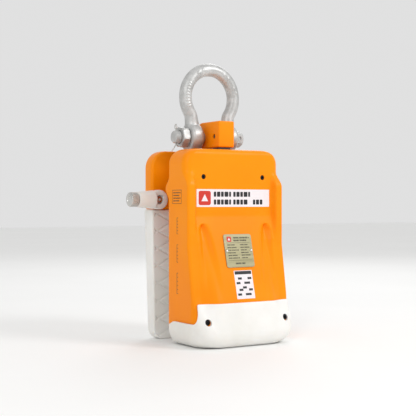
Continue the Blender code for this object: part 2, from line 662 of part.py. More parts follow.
def build_handle(side, side_name):
    place = (side * HANDLE_X, HANDLE_Z)
    eye_y = (HANDLE_EYE_FRONT, JAW_FACE - GAP)
    sleeve = rod(f"handle_sleeve_{side_name}", "Y", *eye_y, place, HANDLE_EYE_RADIUS, "white_rubber")
    bevel(sleeve, 1.0)
    axis = (HANDLE_AXIS_Y, HANDLE_Z)
    ends = (side * HANDLE_SLEEVE_START, side * HANDLE_SLEEVE_END)
    join(sleeve, rod(f"sleeve {side}", "X", *ends, axis, 13.0, end_radius=10.8, sides=32))
    bore = rod(f"sleeve bore {side}", "X", side * 90, side * 120, axis, 4.3, sides=24)
    bolt_hole = rod(f"sleeve bolt hole {side}", "Y", 30, 60, place, 3.3, sides=24)
    counterbore = rod(f"sleeve counterbore {side}", "Y", 30, HANDLE_EYE_FRONT + 7, place, 6.5, sides=24)
    cut(sleeve, as_cutter(bore), as_cutter(bolt_hole), as_cutter(counterbore))

    ends = (side * (HANDLE_SLEEVE_END + GAP), side * HANDLE_END)
    knob = bevel(rod(f"handle_knob_{side_name}", "X", *ends, axis, 10.2, "bright_steel", 32), 1.2)
    join(knob, rod(f"knob rod {side}", "X", side * 91, side * (HANDLE_SLEEVE_END + 3), axis, 4.0, sides=24))

    name = f"handle_bolt_{side_name}"
    bolt = rod(name, "Y", HANDLE_EYE_FRONT + 1.5, HANDLE_EYE_FRONT + 6.7, place, 5.0, "bright_steel", 24)
    join(bolt, rod(f"{name} shank", "Y", HANDLE_EYE_FRONT + 5, JAW_FACE + 15, place, 3.0, sides=24))
    socket = rod(f"{name} socket", "Y", HANDLE_EYE_FRONT - 2, HANDLE_EYE_FRONT + 4, place, 2.4, sides=6)
    cut(bolt, as_cutter(socket))


def build_rating_plate():
    """A thin plate with round corners on the leaning panel, and its two rivets."""
    half_x, half_z, radius, thick = 22.3, 22.8, 3.0, 1.0
    outline = []
    for sx, sz, start in ((1, 1, 0), (-1, 1, 90), (-1, -1, 180), (1, -1, 270)):
        outline += arc((sx * (half_x - radius), sz * (half_z - radius)), radius, start, start + 90, 4)
    centre = Vector((0.0, front_y(127.0), 127.0)) * MM
    lean = Matrix.Translation(centre) @ Matrix.Rotation(-LEAN_ANGLE, 4, "X")
    plate = prism("rating_plate", outline, "Y", -GAP - thick, -GAP, "plate_metal")
    plate.matrix_world = lean @ Matrix.Translation(plate.location)
    for side, side_name in ((-1, "left"), (1, "right")):
        ends = (-GAP - thick - 1.2, -GAP - thick - GAP)
        place = (side * 19.6, 0)
        rivet = rod(f"plate_rivet_{side_name}", "Y", *ends, place, 1.4, "bright_steel", 20, end_radius=2.0)
        rivet.matrix_world = lean @ Matrix.Translation(rivet.location)


clear_scene()
CLAMP = new_collection("slab_lifting_clamp")
CUTTERS = new_collection("cutters")

build_housing()
build_bumper()
for number, word in ((-1, "left"), (1, "right")):
    build_cheek(f"cheek_{word}", number)
    build_handle(number, word)
build_ties()
build_rear_jaw()
build_front_screws()
build_carriage()
build_shackle()
build_rating_plate()
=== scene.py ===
"""Looks of the slab lifting clamp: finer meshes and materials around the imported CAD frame.

Lengths are in millimetres until MM turns them into metres. +Y points from the housing to the rear jaw.
"""

import json
from math import atan2, cos, floor, hypot, pi, radians, sin, sqrt, tan

import bmesh
import bpy
from mathutils import Matrix, Vector


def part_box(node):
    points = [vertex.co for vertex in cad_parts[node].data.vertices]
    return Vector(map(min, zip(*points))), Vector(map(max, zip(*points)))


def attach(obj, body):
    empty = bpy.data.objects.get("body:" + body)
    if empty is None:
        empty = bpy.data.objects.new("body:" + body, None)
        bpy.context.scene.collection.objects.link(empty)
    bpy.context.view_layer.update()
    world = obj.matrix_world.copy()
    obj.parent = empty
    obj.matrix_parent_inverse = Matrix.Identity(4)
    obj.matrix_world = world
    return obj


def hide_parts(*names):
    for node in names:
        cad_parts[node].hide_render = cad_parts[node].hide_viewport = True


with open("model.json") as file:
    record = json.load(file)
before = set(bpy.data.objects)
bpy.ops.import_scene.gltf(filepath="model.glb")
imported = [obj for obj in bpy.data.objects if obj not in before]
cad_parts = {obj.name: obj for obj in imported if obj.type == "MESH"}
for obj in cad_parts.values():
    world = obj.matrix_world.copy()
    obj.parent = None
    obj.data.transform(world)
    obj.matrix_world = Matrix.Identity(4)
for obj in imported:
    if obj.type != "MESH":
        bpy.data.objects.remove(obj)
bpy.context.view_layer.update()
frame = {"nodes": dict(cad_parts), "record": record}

MM = 0.001
GAP = 0.3

# Camera: distance to the shackle pin, angle from the front, and field of view
CAMERA_DISTANCE = 1377.0
CAMERA_ANGLE = radians(32.0)
CAMERA_FOCAL_PIXELS = 970.0
PIN_RIGHT_OF_AXIS = 2.1
PIN_ABOVE_CAMERA = 91.8
HORIZON_SHIFT = -5 / 416

# Housing, as in the CAD model
HOUSING_TOP, HOUSING_BOTTOM, HOUSING_REAR = 265.0, 22.0, 8.0
FACE_Y = -35.0
LOWER_HALF_WIDTH, UPPER_HALF_WIDTH = 77.2, 76.6
SHOULDER_LOW, SHOULDER_HIGH = 214.0, 236.0
WALL = 3.0
LEAN_START, LEAN_ANGLE = 175.0, radians(14.2)
LEAN = tan(LEAN_ANGLE)
CORNER_TOP, CORNER_RAIL, CORNER_BOTTOM = 11.0, 4.0, 28.0
FOOT_START, FOOT_HEIGHT = 70.0, 60.0
RAIL_Y, RAIL_LEAN, RAIL_LEAN_START = -43.5, 0.15, 135.0
RAIL_INNER, RAIL_WALL = 60.5, 6.5
FLANK_INNER, FLANK_WIDTH = 40.0, 26.0
TOP_SIDE_RADIUS, TOP_FRONT_RADIUS = 20.0, 8.0
EAR_Z, EAR_HALF_HEIGHT, EAR_DEPTH = 211.0, 16.0, 9.0
SCOOP_TOP, SCOOP_BOTTOM, SCOOP_X = 164.0, 60.0, 51.0
SCOOP_HALF_WIDTH, SCOOP_WALL, SCOOP_DEPTH = 22.0, 9.0, 7.0
BUMPER_STAND, BUMPER_WALL = 3.8, 2.6
BUMPER_FRONT_TOP, BUMPER_SIDE_TOP, BUMPER_BOTTOM_RADIUS = 59.0, 33.0, 22.0
BUMPER_END_DROP = 4.5

# Rear jaw and rubber pads
JAW_TOP_RADIUS = 24.0
TONGUE_X, TONGUE_Y = (-66.0, 66.0), (60.0, 68.0)
GROOVE_WIDE, GROOVE_HIGH = 46.0, 24.5  # size of one diamond
GROOVE_DEPTH, GROOVE_HALF_WIDTH = 1.4, 1.3
BOOT_SIDE_TAPER, BOOT_BACK_TAPER = 3.5, 5.7  # how far each side and the back draw in at the bottom


def low_high(node):
    """A CAD node's box in millimetres, as (x, y, z) pairs."""
    low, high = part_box(node)
    return [(a / MM, b / MM) for a, b in zip(low, high)]


# Mesh helpers


def clamp01(value):
    return min(1.0, max(0.0, value))


def smooth(value):
    value = clamp01(value)
    return value * value * (3 - 2 * value)


def spaced(low, high, count):
    return [low + (high - low) * i / count for i in range(count + 1)]


def new_piece(name, mesh):
    obj = bpy.data.objects.new(name, mesh)
    bpy.context.scene.collection.objects.link(obj)
    return obj


def from_bmesh(name, shape):
    mesh = bpy.data.meshes.new(name)
    bmesh.ops.remove_doubles(shape, verts=shape.verts, dist=1e-6)
    bmesh.ops.recalc_face_normals(shape, faces=shape.faces)
    shape.to_mesh(mesh)
    shape.free()
    return new_piece(name, mesh)


def baked(obj, angle=32.0):
    """Applies every modifier, and shades the result smooth up to an edge angle in degrees."""
    bpy.context.view_layer.update()
    evaluated = obj.evaluated_get(bpy.context.evaluated_depsgraph_get())
    mesh = bpy.data.meshes.new_from_object(evaluated)
    obj.modifiers.clear()
    obj.data = mesh
    mesh.shade_smooth()
    mesh.set_sharp_from_angle(angle=radians(angle))
    return obj


def discard(obj):
    bpy.data.objects.remove(obj, do_unlink=True)


def boolean(obj, operation, *others):
    """Applies Booleans one after another, and removes the objects they used."""
    for other in others:
        modifier = obj.modifiers.new("boolean", "BOOLEAN")
        modifier.operation = operation
        modifier.object = other
        modifier.solver = "EXACT"
    baked(obj)
    for other in others:
        discard(other)
    return obj


def cut(obj, *others):
    return boolean(obj, "DIFFERENCE", *others)


def join(obj, *others):
    return boolean(obj, "UNION", *others)


def bevel(obj, width, segments=3, angle=40.0):
    modifier = obj.modifiers.new("bevel", "BEVEL")
    modifier.width = width * MM
    modifier.segments = segments
    modifier.limit_method = "ANGLE"
    modifier.angle_limit = radians(angle)
    return baked(obj)


def block(name, x, y, z):
    """A box from three (low, high) pairs."""
    shape = bmesh.new()
    bmesh.ops.create_cube(shape, size=1.0)
    for vert in shape.verts:
        spans = zip(vert.co, (x, y, z))
        vert.co = Vector([(low + high) / 2 + c * (high - low) for c, (low, high) in spans]) * MM
    return from_bmesh(name, shape)


AXES = {
    "X": Matrix(((0, 0, 1), (1, 0, 0), (0, 1, 0))),
    "Y": Matrix(((1, 0, 0), (0, 0, 1), (0, 1, 0))),
    "Z": Matrix(((1, 0, 0), (0, 1, 0), (0, 0, 1))),
}


def turned(name, axis, centre, profile, sides=64, shaping=None):
    """A lathe-turned body. profile lists (place along the axis, radius), and its ends are capped.

    shaping(place, radius, angle) can vary the radius round the axis.
    """
    shape = bmesh.new()
    turn = AXES[axis]
    rings = []
    for along, radius in profile:
        ring = []
        for i in range(sides):
            angle = 2 * pi * i / sides
            r = shaping(along, radius, angle) if shaping else radius
            point = turn @ Vector((r * cos(angle), r * sin(angle), along)) + Vector(centre)
            ring.append(shape.verts.new(point * MM))
        rings.append(ring)
    for low, high in zip(rings, rings[1:]):
        for i in range(sides):
            j = (i + 1) % sides
            shape.faces.new((low[i], low[j], high[j], high[i]))
    shape.faces.new(rings[0])
    shape.faces.new(rings[-1])
    return from_bmesh(name, shape)


def rod(name, axis, start, end, centre, radius, sides=48):
    """A plain cylinder along an axis; centre is its place on the other axes, with 0 on its own."""
    return turned(name, axis, centre, [(min(start, end), radius), (max(start, end), radius)], sides)


def arc(centre, radius, start, end, steps):
    angles = [radians(start + (end - start) * i / steps) for i in range(steps + 1)]
    return [(centre[0] + radius * cos(a), centre[1] + radius * sin(a)) for a in angles]


def prism(name, outline, axis, low, high):
    """A flat outline on the two other axes, in order, extruded along an axis."""
    place = "XYZ".index(axis)

    def point(u, v, w):
        values = [u, v]
        values.insert(place, w)
        return Vector(values) * MM

    shape = bmesh.new()
    ends = [[shape.verts.new(point(u, v, w)) for u, v in outline] for w in (low, high)]
    for end in ends:
        shape.faces.new(end)
    for i in range(len(outline)):
        j = (i + 1) % len(outline)
        shape.faces.new((ends[0][i], ends[0][j], ends[1][j], ends[1][i]))
    return from_bmesh(name, shape)


def sweep(name, points, radius_of, sides=40, up=Vector((0, 1, 0))):
    """A closed tube along points, with a radius from radius_of(part of the length)."""
    shape = bmesh.new()
    points = [Vector(p) for p in points]
    lengths = [0.0]
    for a, b in zip(points, points[1:]):
        lengths.append(lengths[-1] + (b - a).length)
    rings = []
    for i, point in enumerate(points):
        before, after = points[max(0, i - 1)], points[min(len(points) - 1, i + 1)]
        tangent = (after - before).normalized()
        side = tangent.cross(up).normalized()
        normal = side.cross(tangent)
        radius = radius_of(lengths[i] / lengths[-1])
        ring = []
        for k in range(sides):
            angle = 2 * pi * k / sides
            ring.append(shape.verts.new((point + (side * cos(angle) + normal * sin(angle)) * radius) * MM))
        rings.append(ring)
    for low, high in zip(rings, rings[1:]):
        for k in range(sides):
            j = (k + 1) % sides
            shape.faces.new((low[k], low[j], high[j], high[k]))
    shape.faces.new(rings[0])
    shape.faces.new(rings[-1])
    return from_bmesh(name, shape)


# Materials


class Shader:
    """A Principled material with shorthand for its nodes."""

    def __init__(self, name, colour, roughness, metallic=0.0):
        self.material = bpy.data.materials.new(name)
        self.material.use_nodes = True
        self.nodes = self.material.node_tree.nodes
        self.links = self.material.node_tree.links
        self.shader = self.nodes["Principled BSDF"]
        self.set("Base Color", (*colour, 1.0))
        self.set("Roughness", roughness)
        self.set("Metallic", metallic)
        self.place = self.nodes.new("ShaderNodeTexCoord").outputs["Object"]
        self.height = None

    def set(self, socket, value):
        self.shader.inputs[socket].default_value = value

    def noise(self, scale, detail=4.0, roughness=0.55, stretch=(1, 1, 1)):
        mapping = self.nodes.new("ShaderNodeMapping")
        mapping.inputs["Scale"].default_value = stretch
        self.links.new(self.place, mapping.inputs["Vector"])
        node = self.nodes.new("ShaderNodeTexNoise")
        node.inputs["Scale"].default_value = scale
        node.inputs["Detail"].default_value = detail
        node.inputs["Roughness"].default_value = roughness
        self.links.new(mapping.outputs["Vector"], node.inputs["Vector"])
        return node.outputs["Fac"]

    def ramp(self, source, low, high, at=(0.35, 0.65)):
        """Blends two colours over a stretch of a grey value."""
        node = self.nodes.new("ShaderNodeValToRGB")
        for element, place, colour in zip(node.color_ramp.elements, at, (low, high)):
            element.position = place
            element.color = (*colour, 1.0)
        self.links.new(source, node.inputs["Fac"])
        return node.outputs["Color"]

    def colour(self, source, low, high, at=(0.35, 0.65)):
        self.links.new(self.ramp(source, low, high, at), self.shader.inputs["Base Color"])

    def roughness(self, source, low, high, at=(0.3, 0.7)):
        node = self.nodes.new("ShaderNodeMapRange")
        for socket, value in zip(("From Min", "From Max", "To Min", "To Max"), (*at, low, high)):
            node.inputs[socket].default_value = value
        self.links.new(source, node.inputs["Value"])
        self.links.new(node.outputs["Result"], self.shader.inputs["Roughness"])

    def bump(self, source, distance, strength=1.0):
        """Adds a layer of relief, with its height in metres."""
        node = self.nodes.new("ShaderNodeBump")
        node.inputs["Distance"].default_value = distance
        node.inputs["Strength"].default_value = strength
        self.links.new(source, node.inputs["Height"])
        if self.height:
            self.links.new(self.height, node.inputs["Normal"])
        self.height = node.outputs["Normal"]
        self.links.new(self.height, self.shader.inputs["Normal"])


def orange_paint():
    paint = Shader("orange_powder_coat", (1.0, 0.27, 0.0), 0.32)
    paint.colour(paint.noise(9.0, 2.0), (0.97, 0.262, 0.0), (1.0, 0.302, 0.001))
    paint.roughness(paint.noise(38.0, 5.0), 0.3, 0.44)
    paint.bump(paint.noise(620.0, 3.0), 0.00012, 0.35)
    paint.bump(paint.noise(45.0, 2.0), 0.0005, 0.18)
    paint.set("Specular IOR Level", 0.13)
    paint.set("Coat Weight", 0.04)
    paint.set("Coat Roughness", 0.2)
    return paint.material


def white_rubber():
    rubber = Shader("white_moulded_rubber", (0.84, 0.83, 0.79), 0.5)
    rubber.colour(rubber.noise(14.0, 5.0), (0.80, 0.785, 0.74), (0.88, 0.87, 0.84))
    rubber.roughness(rubber.noise(60.0, 4.0), 0.42, 0.6)
    rubber.bump(rubber.noise(900.0, 3.0), 0.00008, 0.4)
    rubber.bump(rubber.noise(30.0, 3.0), 0.0006, 0.15)
    rubber.set("Subsurface Weight", 0.08)
    rubber.set("Subsurface Radius", (0.004, 0.003, 0.002))
    rubber.set("Subsurface Scale", 1.0)
    return rubber.material


def galvanised():
    zinc = Shader("galvanised_forging", (0.62, 0.62, 0.61), 0.44, 0.6)
    zinc.colour(zinc.noise(85.0, 6.0, 0.6), (0.45, 0.45, 0.44), (0.62, 0.62, 0.61))
    zinc.roughness(zinc.noise(120.0, 6.0), 0.38, 0.52)
    zinc.bump(zinc.noise(300.0, 5.0, 0.6), 0.0002, 0.4)
    zinc.bump(zinc.noise(45.0, 3.0), 0.0008, 0.2)
    return zinc.material


def bright_steel():
    steel = Shader("bright_zinc_plate", (0.62, 0.61, 0.58), 0.3, 1.0)
    steel.colour(steel.noise(70.0, 5.0), (0.50, 0.49, 0.46), (0.70, 0.69, 0.66))
    steel.roughness(steel.noise(160.0, 4.0), 0.22, 0.42)
    steel.bump(steel.noise(700.0, 2.0), 0.0001, 0.3)
    return steel.material


def dark_steel():
    steel = Shader("blackened_steel", (0.13, 0.13, 0.135), 0.45, 0.9)
    steel.colour(steel.noise(40.0, 6.0), (0.085, 0.085, 0.09), (0.17, 0.17, 0.175))
    steel.roughness(steel.noise(90.0, 4.0), 0.36, 0.58)
    steel.bump(steel.noise(420.0, 4.0), 0.0003, 0.35)
    return steel.material


def black_oxide():
    steel = Shader("black_oxide", (0.018, 0.018, 0.02), 0.38, 0.6)
    steel.roughness(steel.noise(200.0, 3.0), 0.3, 0.5)
    steel.bump(steel.noise(900.0, 2.0), 0.00008, 0.3)
    return steel.material


def bronze():
    metal = Shader("turned_bronze", (0.60, 0.40, 0.19), 0.35, 1.0)
    metal.colour(metal.noise(80.0, 4.0), (0.50, 0.32, 0.14), (0.66, 0.45, 0.22))
    metal.roughness(metal.noise(300.0, 3.0), 0.28, 0.45)
    metal.bump(metal.noise(60.0, 2.0, stretch=(30, 1, 1)), 0.0001, 0.4)
    return metal.material


def khaki_plate():
    metal = Shader("khaki_anodised_plate", (0.36, 0.33, 0.19), 0.42, 0.45)
    metal.colour(metal.noise(220.0, 3.0, stretch=(0.06, 1, 1)), (0.32, 0.295, 0.165), (0.41, 0.375, 0.225))
    metal.roughness(metal.noise(500.0, 3.0, stretch=(0.05, 1, 1)), 0.34, 0.5)
    metal.bump(metal.noise(900.0, 2.0, stretch=(0.05, 1, 1)), 0.00006, 0.4)
    return metal.material


def printed(name, colour, roughness=0.4):
    ink = Shader(name, colour, roughness)
    ink.roughness(ink.noise(240.0, 3.0), roughness - 0.06, roughness + 0.08)
    ink.bump(ink.noise(500.0, 2.0), 0.00005, 0.3)
    return ink.material


MATERIALS = {
    "orange_paint": orange_paint(),
    "white_rubber": white_rubber(),
    "galvanised_steel": galvanised(),
    "bright_steel": bright_steel(),
    "dark_steel": dark_steel(),
    "black_screw": black_oxide(),
    "bronze": bronze(),
    "plate_metal": khaki_plate(),
    "label_white": printed("label_film", (0.86, 0.80, 0.82), 0.34),
    "label_black": printed("label_ink", (0.012, 0.012, 0.014), 0.4),
    "label_red": printed("label_red_ink", (0.62, 0.03, 0.015), 0.4),
    "plate_ink": printed("plate_ink", (0.07, 0.062, 0.035), 0.45),
    "side_ink": printed("side_ink", (0.16, 0.07, 0.02), 0.45),
}


def dress(obj, slot, body, *nodes):
    """Gives a finished piece its material and its body, and hides the CAD nodes it stands for."""
    obj.data.materials.clear()
    obj.data.materials.append(MATERIALS[slot])
    if nodes:
        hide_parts(*nodes)
    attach(obj, body)
    return obj


# Housing and bumper


def front_y(z):
    return FACE_Y - LEAN * max(0.0, LEAN_START - z)


def rounding(distance, radius):
    """How far an edge of that radius has come in, at a distance short of the edge's end."""
    if distance >= radius:
        return 0.0
    return radius - sqrt(max(0.0, radius**2 - (radius - distance) ** 2))


def shoulder(z):
    """0 along the rails, 1 above the shoulder."""
    return smooth((z - SHOULDER_LOW) / (SHOULDER_HIGH - SHOULDER_LOW))


def foot(z):
    """0 above the foot, 1 where the corners have their full radius."""
    return smooth((FOOT_START - z) / FOOT_HEIGHT)


def corner_radius(z):
    high, low = (CORNER_TOP - CORNER_RAIL) * shoulder(z), (CORNER_BOTTOM - CORNER_RAIL) * foot(z)
    return CORNER_RAIL + high + low


def scoop(x, z):
    """Depth of the thumb-shaped hollow on each side of the centre panel."""
    down = clamp01((SCOOP_TOP - z) / (SCOOP_TOP - SCOOP_BOTTOM))
    half = SCOOP_HALF_WIDTH * down**0.35
    across = abs(x) - SCOOP_X
    if across > 0:
        half = min(half, RAIL_INNER - SCOOP_X)
    return SCOOP_DEPTH * (1 - down) * smooth((half - abs(across)) / SCOOP_WALL)


def side_offset(z):
    """How far the front's outer edge lies behind the panel: less than 0 where it stands proud as a rail."""
    rail = RAIL_Y - RAIL_LEAN * max(0.0, RAIL_LEAN_START - z)
    return (rail - front_y(z)) * (1 - shoulder(z)) * (1 - foot(z))


def flat_y(x, z, scooped):
    """The front's y at a point between its two corners."""
    offset = side_offset(z)
    start, width = (RAIL_INNER, RAIL_WALL) if offset < 0 else (FLANK_INNER, FLANK_WIDTH)
    y = front_y(z) + offset * smooth((abs(x) - start) / width)
    return y + scoop(x, z) if scooped else y


def shell_point(u, z, offset=0.0, scooped=True, bottom=None):
    """A point on the housing. u runs from -1 at the left rear edge, through 0 at the front, to 1."""
    top = HOUSING_TOP + offset - z
    side_in = rounding(top, TOP_SIDE_RADIUS)
    front_in = rounding(top, TOP_FRONT_RADIUS)
    if bottom is not None:
        side_in += rounding(z - bottom, BUMPER_BOTTOM_RADIUS)
        front_in += rounding(z - bottom, BUMPER_BOTTOM_RADIUS)
    radius = offset + corner_radius(z)
    width = LOWER_HALF_WIDTH + (UPPER_HALF_WIDTH - LOWER_HALF_WIDTH) * shoulder(z) + offset - side_in
    side, along = (1 if u >= 0 else -1), abs(u)
    flat = width - radius
    face = flat_y(flat, z, scooped) - offset + front_in
    if along <= 0.5:
        x = flat * along / 0.5
        y = flat_y(x, z, scooped) - offset + front_in
    elif along <= 0.72:
        angle = (along - 0.5) / 0.22 * pi / 2
        x, y = flat + radius * sin(angle), face + radius * (1 - cos(angle))
    else:
        ear = EAR_DEPTH * smooth(1 - abs(z - EAR_Z) / EAR_HALF_HEIGHT)
        rear = HOUSING_REAR + ear - 0.35 * side_in
        x = width
        y = face + radius + (rear - face - radius) * (along - 0.72) / 0.28
    return side * x, y, z


def bumper_top(u):
    """Height of the bumper's top line: high across the front, then an S down to the sides."""
    drop = smooth((abs(u) - 0.50) / 0.16)
    end = BUMPER_END_DROP * smooth((abs(u) - 0.90) / 0.065)
    return BUMPER_FRONT_TOP + (BUMPER_SIDE_TOP - BUMPER_FRONT_TOP) * drop - end


def shell(name, columns, rows, point, thickness, cap=False):
    """An open grid surface, with a flat cap on its last row if asked, made solid inwards."""
    shape = bmesh.new()
    grid = [[shape.verts.new(Vector(point(u, v)) * MM) for u in columns] for v in rows]
    for low, high in zip(grid, grid[1:]):
        for i in range(len(columns) - 1):
            shape.faces.new((low[i], low[i + 1], high[i + 1], high[i]))
    if cap:
        shape.faces.new(grid[-1])
    mesh = bpy.data.meshes.new(name)
    bmesh.ops.remove_doubles(shape, verts=shape.verts, dist=1e-6)
    shape.to_mesh(mesh)
    shape.free()
    obj = new_piece(name, mesh)
    modifier = obj.modifiers.new("wall", "SOLIDIFY")
    modifier.thickness = thickness * MM
    modifier.offset = -1.0
    modifier.use_even_offset = True
    return baked(obj)


def mirrored(steps):
    return [-step for step in reversed(steps) if step] + list(steps)


def screw_centre(node):
    x, y, z = low_high(node)
    return (x[0] + x[1]) / 2, y[0], (z[0] + z[1]) / 2


def build_housing():
    front = spaced(0.0, 0.34, 20) + spaced(0.34, 0.5, 48)[1:]
    columns = mirrored(front + spaced(0.5, 0.72, 18)[1:] + spaced(0.72, 1.0, 10)[1:])
    rows = spaced(HOUSING_BOTTOM, 140, 42) + spaced(140, 172, 32)[1:] + spaced(172, 245, 36)[1:]
    rows += [HOUSING_TOP - TOP_SIDE_RADIUS * (1 - sin(radians(a))) for a in spaced(0, 90, 22)][1:]
    housing = shell("housing_shell", columns, rows, shell_point, WALL, cap=True)
    stem_x = low_high("lifting_stem")[0]
    slot_x = (stem_x[0] - 2, stem_x[1] + 2)
    cutters = [block("slot", slot_x, (-17.5, 40), (HOUSING_TOP - 12, HOUSING_TOP + 10))]
    for kind, radius in (("housing", 3.5), ("bumper", 4.3)):
        for side in ("left", "right"):
            x, _, z = screw_centre(f"{kind}_screw_{side}")
            cutters.append(rod("hole", "Y", -100, -20, (x, 0, z), radius))
    cut(housing, *cutters)
    bevel(housing, 0.5, 2, 50)
    dress(housing, "orange_paint", "frame", "front_housing")


def build_bumper():
    columns = mirrored(spaced(0.0, 0.5, 40) + spaced(0.5, 0.72, 40)[1:] + spaced(0.72, 0.965, 14)[1:])
    rows = [1 - cos(radians(a)) for a in spaced(0, 60, 16)] + spaced(0.5, 1.0, 16)[1:]

    def point(u, v):
        return shell_point(u, bumper_top(u) * v, BUMPER_STAND, scooped=False, bottom=0.0)

    bumper = shell("bumper_shell", columns, rows, point, BUMPER_WALL)
    holes = []
    for side in ("left", "right"):
        x, _, z = screw_centre(f"bumper_screw_{side}")
        holes.append(rod("hole", "Y", -100, -20, (x, 0, z), 4.5))
    cut(bumper, *holes)
    bevel(bumper, 0.8, 3, 50)
    dress(bumper, "white_rubber", "frame", "front_bumper")


def socket_screw(node, slot, body, head_depth, head_radius, shank_radius, socket_radius, reverse=False):
    """A cap screw with a domed edge and a hexagon socket. reverse turns its head to the rear."""
    x, y, z = low_high(node)
    centre = ((x[0] + x[1]) / 2, 0, (z[0] + z[1]) / 2)
    start, end, sign = (y[1], y[0], -1) if reverse else (y[0], y[1], 1)
    edge = 0.5
    profile = [
        (start, head_radius - 3 * edge),
        (start + sign * edge * 0.3, head_radius - edge),
        (start + sign * edge, head_radius - 0.25 * edge),
        (start + sign * 2 * edge, head_radius),
        (start + sign * head_depth, head_radius),
        (start + sign * head_depth, shank_radius),
        (end - sign * 0.8, shank_radius),
        (end, shank_radius - 0.6),
    ]
    screw = turned(f"{node}_detail", "Y", centre, profile)
    depth = start + sign * min(3.0, head_depth * 0.75)
    socket = rod("socket", "Y", start - sign, depth, centre, socket_radius, 6)
    cut(screw, socket)
    dress(screw, slot, body, node)


def build_screws():
    for side in ("left", "right"):
        socket_screw(f"housing_screw_{side}", "black_screw", "frame", 2.4, 3.1, 2.5, 1.7)
        socket_screw(f"bumper_screw_{side}", "black_screw", "frame", 2.4, 4.0, 2.5, 2.1)
        socket_screw(f"handle_bolt_{side}", "bright_steel", "frame", 5.2, 5.0, 3.0, 2.4)
        for level in ("lower", "upper"):
            name = f"jaw_bolt_{level}_{side}"
            socket_screw(name, "bright_steel", "frame", 6.0, 7.0, 3.9, 3.4, reverse=True)


# Rubber pads


def groove(x, z, inset):
    """Depth of the diamond grooves, fading out over the last part before the pad's edge."""
    depth = 0.0
    spacing = GROOVE_WIDE * GROOVE_HIGH / hypot(GROOVE_WIDE, GROOVE_HIGH)
    for lean in (1, -1):
        phase = x / GROOVE_WIDE + lean * z / GROOVE_HIGH
        away = abs(phase - floor(phase + 0.5)) * spacing
        depth = max(depth, GROOVE_DEPTH * smooth(1.5 - 1.1 * away / GROOVE_HALF_WIDTH))
    return depth * smooth((inset - 3.0) / 2.0)


def grooved_pad(name, node, face_sign, corner, edge, pitch=1.1):
    """A rubber block with round edges. Its face has diamond grooves, and looks along face_sign times +Y."""
    (x0, x1), (y0, y1), (z0, z1) = low_high(node)
    face, back = (y0, y1) if face_sign < 0 else (y1, y0)
    middle = (z0 + z1) / 2
    across = int((x1 - x0) / pitch)
    shape = bmesh.new()
    rings = []
    edge_steps = [edge * (1 - cos(radians(a))) for a in spaced(0, 90, 5)]
    heights = [z0 + s for s in edge_steps[:-1]] + spaced(z0 + edge, z1 - edge, int((z1 - z0) / pitch))
    heights += [z1 - s for s in reversed(edge_steps[:-1])]
    for z in heights:
        shrink = rounding(min(z - z0, z1 - z), edge)
        half = x1 - rounding(z - z0, corner) - (rounding(z1 - z, edge) if z > middle else 0.0)
        f, b = face - face_sign * shrink, back + face_sign * shrink
        ring = []
        for i in range(across + 1):
            x = (half - edge) * (2 * i / across - 1)
            inset = min(half - abs(x), z - z0, z1 - z)
            ring.append((x, f - face_sign * groove(x, z - middle, inset)))
        turns = [radians(a) for a in spaced(0, 90, 5)]
        quarter = [(half - edge + edge * cos(a), face_sign * edge * (1 - sin(a))) for a in turns]
        ring += [(x, f - drop) for x, drop in reversed(quarter[:-1])]
        ring += [(x, b + drop) for x, drop in quarter]
        ring += [((half - edge) * (1 - 2 * i / 12), b) for i in range(1, 12)]
        ring += [(-x, b + drop) for x, drop in reversed(quarter)]
        ring += [(-x, f - drop) for x, drop in quarter[:-1]]
        rings.append([shape.verts.new(Vector((x, y, z)) * MM) for x, y in ring])
    count = len(rings[0])
    for low, high in zip(rings, rings[1:]):
        for i in range(count):
            j = (i + 1) % count
            shape.faces.new((low[i], low[j], high[j], high[i]))
    shape.faces.new(rings[0])
    shape.faces.new(rings[-1])
    return baked(from_bmesh(name, shape))


def build_pads():
    boot = grooved_pad("rear_boot_grooved", "rear_rubber_boot", -1, 15.0, 2.5)
    (_, half), (face, back), (_, top) = low_high("rear_rubber_boot")
    for vert in boot.data.vertices:
        down = 1 - vert.co.z / (top * MM)
        vert.co.x *= 1 - BOOT_SIDE_TAPER / half * down
        vert.co.y = face * MM + (vert.co.y - face * MM) * (1 - BOOT_BACK_TAPER / (back - face) * down)
    x, y = ((low - GAP, high + GAP) for low, high in (TONGUE_X, TONGUE_Y))
    cut(boot, block("pocket", x, y, (low_high("rear_jaw_plate")[2][0] - GAP, top + 17.5)))
    dress(boot, "white_rubber", "frame", "rear_rubber_boot")
    pad = grooved_pad("moving_pad_grooved", "moving_pad", 1, 4.0, 2.0)
    dress(pad, "white_rubber", "carriage", "moving_pad")


# Rear jaw and lifting lug


def build_jaw_plate():
    (x0, x1), (y0, y1), (z0, z1) = low_high("rear_jaw_plate")
    low = low_high("rear_rubber_boot")[2][1] + GAP
    outline = [(x0, low), (x1, low)]
    outline += arc((x1 - JAW_TOP_RADIUS, z1 - JAW_TOP_RADIUS), JAW_TOP_RADIUS, 0, 90, 24)
    outline += arc((x0 + JAW_TOP_RADIUS, z1 - JAW_TOP_RADIUS), JAW_TOP_RADIUS, 90, 180, 24)
    plate = bevel(prism("jaw_plate_rounded", outline, "Y", y0, y1), 3.5, 5, 50)
    join(plate, block("tongue", TONGUE_X, TONGUE_Y, (z0, low + 8)))
    cutters = []
    for side in ("left", "right"):
        for level in ("lower", "upper"):
            x, _, z = screw_centre(f"jaw_bolt_{level}_{side}")
            cutters.append(rod("hole", "Y", 40, 90, (x, 0, z), 4.3))
            cutters.append(rod("sink", "Y", y1 - 7, 90, (x, 0, z), 7.4))
        x, _, z = screw_centre(f"handle_bolt_{side}")
        cutters.append(rod("hole", "Y", 40, 90, (x, 0, z), 3.3))
    cut(plate, *cutters)
    dress(plate, "orange_paint", "frame", "rear_jaw_plate")


